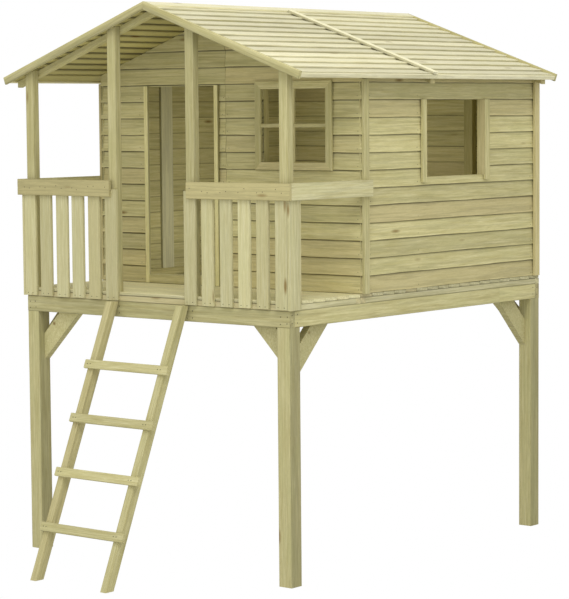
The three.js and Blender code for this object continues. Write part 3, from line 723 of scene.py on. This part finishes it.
# The ladder: two rails, 65 x 45 mm, cut level at both ends, that lean on the platform's front beam, with
# four flat rungs screwed on their faces.
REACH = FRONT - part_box("ladder_rail_left")[0][1]
LEAN = math.atan((REACH - 0.065) / BEAM_TOP)
FIRST_RUNG, RUNG_STEP, RUNGS = 0.287, 0.297, 4
RUNG_HALF, RUNG_FACE = 0.026, 0.022
FEET = (0, -REACH, 0)
ladder_pine = pine("ladder_pine", light="d7d09e", dark="c0b77f", green="c8c38a")
ladder = Boards("ladder")
RUNG_ENDS = (-0.320, 0.320)
rise = (0, math.sin(LEAN), math.cos(LEAN))
outward = (0, -math.cos(LEAN), math.sin(LEAN))
rail_depth = 0.065 * math.cos(LEAN)
level = (0.0, -math.tan(LEAN))
for x in (-0.308, 0.236):
    outline = rectangle((x, x + PLANK), (-rail_depth, -0.0003), SAWN_EDGE)
    ladder.saw(
        outline, FEET, X, outward, rise, 0.0, BEAM_TOP / math.cos(LEAN), start_cut=level, end_cut=level
    )


def up_rail(rung):
    return (FIRST_RUNG + rung * RUNG_STEP) / math.cos(LEAN)


for rung in range(RUNGS):
    middle = up_rail(rung)
    outline = rectangle((middle - RUNG_HALF, middle + RUNG_HALF), (0.0003, RUNG_FACE), 0.005)
    ladder.saw(outline, FEET, rise, outward, X, *RUNG_ENDS)
nodes = ["ladder_rail_left", "ladder_rail_right"] + [f"ladder_rung_{index + 1}" for index in range(RUNGS)]
ladder.nail_up(ladder_pine, "ladder", *nodes)

# The nails and screws: low round steel heads that sit just proud of the boards, dulled by the weather.
# Two hold each picket, and the others hold the beams, the wall boards and the rungs.
NAIL_SIDES = 8
ABOVE_FOOT = 0.022
heads = Boards("nail_heads")


def head(spot, across, up, out, radius, proud=0.0006):
    turns = [side * 0.785 for side in range(NAIL_SIDES)]
    outline = [(radius * math.cos(turn), radius * math.sin(turn)) for turn in turns]
    heads.saw(outline, spot, across, up, out, -0.002, proud, tone=0.5)


def front_nail(x, y, z, radius=0.0028):
    head((x, y, z), X, Z, (0, -1, 0), radius)


def side_nail(x, y, z, radius=0.0034):
    head((x, y, z), Y, Z, X, radius)


def about(place, stray):
    return place + chance.uniform(-stray, stray)


for name, side in SIDES:
    for start in PICKET_STARTS[name]:
        for across_picket in (0.022, 0.064):
            front_nail(about(start + across_picket, 0.003), -PICKET_THICK, 1.552)
            front_nail(about(start + across_picket, 0.003), -2 * PICKET_THICK, about(2.186, 0.015))
    for x in (HALF - 0.02, HALF - 0.065, 0.31, 0.262):
        for z in (1.462, 1.498):
            front_nail(about(side * x, 0.004), 0.0, about(z, 0.004), 0.0034)
for y in (0.022, 0.068, DEPTH - 0.022, DEPTH - 0.068):
    for z in (1.465, 1.508):
        side_nail(HALF, y, about(z, 0.004))
board_face = BOARD_FOOT - BOARD_TAPER * 0.22 + 0.0002
for index in range(12):
    z = DECK + index * COURSE + ABOVE_FOOT
    for y in (WALL + 0.075, 1.195, REAR - 0.09):
        beside = SIDE_WINDOW[0] - 0.06 < y < SIDE_WINDOW[1] + 0.06
        if not (beside and z > SIDE_WINDOW[2] - 0.03):
            side_nail(INNER + board_face, about(y, 0.008), z, 0.0022)
    for x in (DOOR[0] - 0.075, DOOR[1] + 0.062, PANEL_JOINT + 0.02, HALF - 0.03):
        beside = PANES[0] - 0.06 < x < PANES[1] + 0.06
        if not (beside and z > PANES[2] - 0.06):
            front_nail(about(x, 0.006), BACK - board_face, z, 0.0022)
for rung in range(RUNGS):
    for x in (-0.296, -0.275, 0.248, 0.269):
        spot = Vector((x, -REACH, 0)) + Vector(rise) * up_rail(rung) + Vector(outward) * RUNG_FACE
        head(spot, X, rise, outward, 0.0032, 0.0005)
steel = bpy.data.materials.new("nail_steel")
steel.use_nodes = True
metal = steel.node_tree.nodes["Principled BSDF"]
metal.inputs["Base Color"].default_value = colour("4d4932")
metal.inputs["Metallic"].default_value = 0.5
metal.inputs["Roughness"].default_value = 0.55
heads.nail_up(steel, "trim")

# The studio: a wide floor and a world that are plain white to the camera, and pale to everything else, so
# that the floor throws soft light up under the platform.
FLOOR_REACH = 30
WHITE = (1.0, 1.0, 1.0, 1.0)


def white_to_camera(tree, lit, white, output):
    path = tree.nodes.new("ShaderNodeLightPath")
    any_view = tree.nodes.new("ShaderNodeMath")
    any_view.operation = "MAXIMUM"
    tree.links.new(path.outputs["Is Camera Ray"], any_view.inputs[0])
    tree.links.new(path.outputs["Is Transmission Ray"], any_view.inputs[1])
    pick = tree.nodes.new("ShaderNodeMixShader")
    tree.links.new(any_view.outputs[0], pick.inputs[0])
    tree.links.new(lit.outputs[0], pick.inputs[1])
    tree.links.new(white.outputs[0], pick.inputs[2])
    out = tree.nodes.new(output)
    tree.links.new(pick.outputs["Shader"], out.inputs["Surface"])


pale = bpy.data.materials.new("pale_floor")
pale.use_nodes = True
tree = pale.node_tree
tree.nodes.clear()
matt = tree.nodes.new("ShaderNodeBsdfDiffuse")
matt.inputs["Color"].default_value = (0.72, 0.72, 0.70, 1.0)
glow = tree.nodes.new("ShaderNodeEmission")
glow.inputs["Strength"].default_value = 1.0
white_to_camera(tree, matt, glow, "ShaderNodeOutputMaterial")

sheet = bmesh.new()
bmesh.ops.create_grid(sheet, x_segments=1, y_segments=1, size=FLOOR_REACH)
ground = bpy.data.meshes.new("floor")
sheet.to_mesh(ground)
sheet.free()
ground.materials.append(pale)
floor_object = bpy.data.objects.new("floor", ground)
floor_object.location.z = -0.002
bpy.context.scene.collection.objects.link(floor_object)

world = bpy.data.worlds.new("studio")
bpy.context.scene.world = world
world.use_nodes = True
tree = world.node_tree
tree.nodes.clear()
sky = tree.nodes.new("ShaderNodeBackground")
sky.inputs["Color"].default_value = WHITE
sky.inputs["Strength"].default_value = 0.78
plain = tree.nodes.new("ShaderNodeBackground")
plain.inputs["Color"].default_value = WHITE
plain.inputs["Strength"].default_value = 1.0
white_to_camera(tree, sky, plain, "ShaderNodeOutputWorld")


# The lamps: three wide soft panels, above on the right, low on the right and in front, and a weak lamp on
# the porch that lifts the shade under the roof.
def panel_lamp(name, power, size, place, target):
    light = bpy.data.lights.new(name, "AREA")
    light.energy = power
    light.size = size
    holder = bpy.data.objects.new(name, light)
    holder.location = place
    aim = Vector(target) - Vector(place)
    holder.rotation_euler = aim.to_track_quat("-Z", "Y").to_euler()
    bpy.context.scene.collection.objects.link(holder)


panel_lamp("key", 260.0, 4.0, (4.5, -4.5, 8.0), (0.0, 0.0, 1.8))
panel_lamp("fill", 55.0, 5.0, (7.5, -3.0, 3.0), (0.0, 0.0, 1.6))
panel_lamp("front", 90.0, 5.0, (-0.5, -8.0, 2.2), (0.0, 0.0, 1.9))
porch_light = bpy.data.lights.new("inside", "POINT")
porch_light.energy = 10.5
porch_light.shadow_soft_size = 0.3
porch_lamp = bpy.data.objects.new("inside", porch_light)
porch_lamp.location = (0.0, 0.35, 1.95)
bpy.context.scene.collection.objects.link(porch_lamp)

# The camera stands about 14 m away to the front right, a little above the handrails. It has no shift, so
# the playhouse stays in the middle of every other view too.
SENSOR, PHOTO_HEIGHT, FOCAL_PIXELS = 36.0, 599.0, 2306.8
AZIMUTH, DIP, ROLL = math.radians(39.353), math.radians(-4.676), math.radians(-0.472)
ahead = Vector((-math.sin(AZIMUTH) * math.cos(DIP), math.cos(AZIMUTH) * math.cos(DIP), math.sin(DIP)))
level_right = ahead.cross(Vector(Z)).normalized()
level_up = level_right.cross(ahead)
right = level_right * math.cos(ROLL) + level_up * math.sin(ROLL)
upward = level_up * math.cos(ROLL) - level_right * math.sin(ROLL)
view = bpy.data.cameras.new("photo_view")
view.sensor_width = SENSOR
view.lens = FOCAL_PIXELS * SENSOR / PHOTO_HEIGHT
view.clip_end = 100.0
camera = bpy.data.objects.new("photo_view", view)
turn = Matrix((right, upward, -ahead)).transposed().to_4x4()
camera.matrix_world = Matrix.Translation((8.947, -10.606, 2.625)) @ turn
bpy.context.scene.collection.objects.link(camera)
bpy.context.scene.camera = camera
bpy.context.scene.view_settings.view_transform = "Standard"
